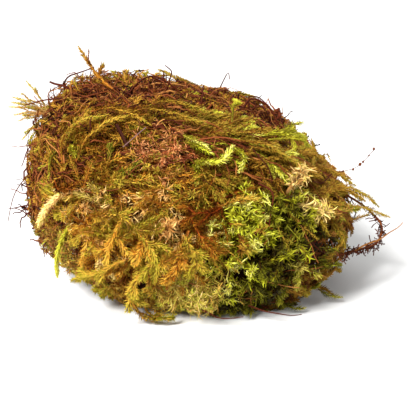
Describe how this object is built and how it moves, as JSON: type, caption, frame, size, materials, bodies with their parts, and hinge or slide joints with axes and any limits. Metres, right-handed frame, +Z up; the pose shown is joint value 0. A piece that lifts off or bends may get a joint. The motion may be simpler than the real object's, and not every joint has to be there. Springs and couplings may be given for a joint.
{
  "type": "sphagnum moss clump",
  "caption": "A loose handful of sphagnum moss lying on its own dead brown stems, with olive, golden and green leafy shoots and a few pale heads.",
  "frame": {"origin": "middle of the flat that the clump lies on, at the level of the surface under it", "axes": "+Z up from the surface it lies on, +X along its longest way, to the right as seen from the front, which faces -Y"},
  "size_m": [0.1356, 0.1041, 0.083],
  "materials": {
    "amber_moss": "matte",
    "bark_brown": "matte",
    "blush_moss": "matte",
    "dead_stems": "matte",
    "cream_moss": "matte",
    "deep_green_moss": "matte",
    "golden_moss": "matte",
    "bright_green_moss": "matte",
    "lime_moss": "matte",
    "olive_moss": "matte",
    "russet_moss": "matte",
    "straw_moss": "matte"
  },
  "bodies": {
    "root": {"dead_stem_mat": "dead_stems", "crown_olive_spray": "olive_moss", "upper_left_gold_spray": "golden_moss", "blush_spray": "blush_moss", "middle_russet_spray": "russet_moss", "middle_olive_spray": "olive_moss", "left_gold_spray": "golden_moss", "front_gold_spray": "golden_moss", "amber_spray": "amber_moss", "bright_rosette_spray": "bright_green_moss", "deep_rosette_spray": "deep_green_moss", "upper_right_olive_spray": "olive_moss", "right_olive_spray": "olive_moss", "lower_right_spray": "deep_green_moss", "left_foot_spray": "olive_moss", "front_foot_spray": "straw_moss", "green_foot_spray": "deep_green_moss", "left_side_spray": "olive_moss", "back_left_spray": "olive_moss", "back_gold_spray": "golden_moss", "back_right_spray": "olive_moss", "back_crown_spray": "olive_moss", "back_foot_left_spray": "golden_moss", "back_foot_right_spray": "deep_green_moss", "right_side_spray": "bright_green_moss", "crown_frond": "golden_moss", "straw_fan": "straw_moss", "lime_frond": "lime_moss", "lime_sprig": "lime_moss", "rootlet_loop": "bark_brown", "bead_stalk": "bark_brown", "needle_stub": "bark_brown", "grass_stalk": "straw_moss", "pale_head_upper_right": "cream_moss", "pale_head_right": "cream_moss", "pale_head_front": "cream_moss", "cream_branch": "cream_moss"}
  },
  "joints": []
}
